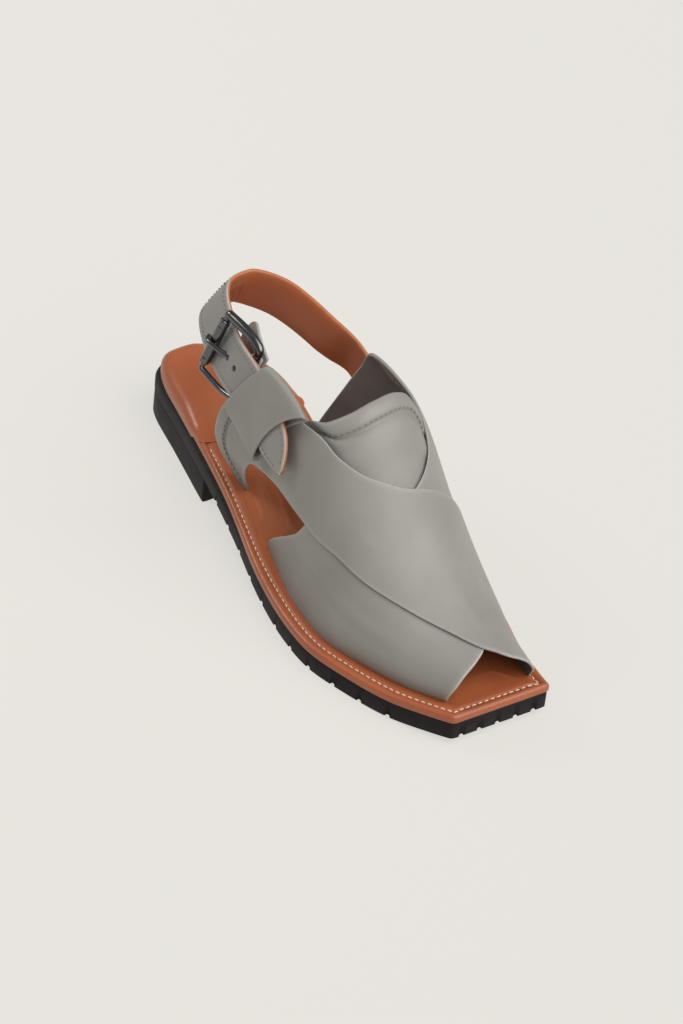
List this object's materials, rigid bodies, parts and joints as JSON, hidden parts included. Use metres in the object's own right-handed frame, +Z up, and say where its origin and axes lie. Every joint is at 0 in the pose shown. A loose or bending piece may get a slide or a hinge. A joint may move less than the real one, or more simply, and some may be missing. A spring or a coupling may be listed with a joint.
{
  "type": "peshawari chappal",
  "caption": "Leather strap sandal with two crossed straps, a padded tongue, a buckled strap behind the heel, and a stitched leather and rubber sole with a low heel.",
  "frame": {"origin": "on the floor under the middle of the bounding box of the sole's outline", "axes": "+X from the heel to the toe, +Y to the foot's medial side, +Z up"},
  "size_m": [0.3012, 0.1032, 0.1205],
  "materials": {
    "rubber": "satin near-black rubber",
    "tan_leather": "polished tan leather",
    "grey_leather": "smooth semi-gloss taupe grey leather",
    "gunmetal": "polished dark gunmetal"
  },
  "bodies": {
    "root": {"outsole": "rubber", "heel_block": "rubber", "midsole": "tan_leather", "heel_pad": "tan_leather", "insole": "tan_leather", "upper": "grey_leather", "tongue": "grey_leather", "slingback": "grey_leather", "keeper": "grey_leather", "buckle_strap": "grey_leather", "underlay": "grey_leather", "buckle_frame": "gunmetal", "buckle_roller": "gunmetal", "buckle_prong": "gunmetal"}
  },
  "joints": []
}
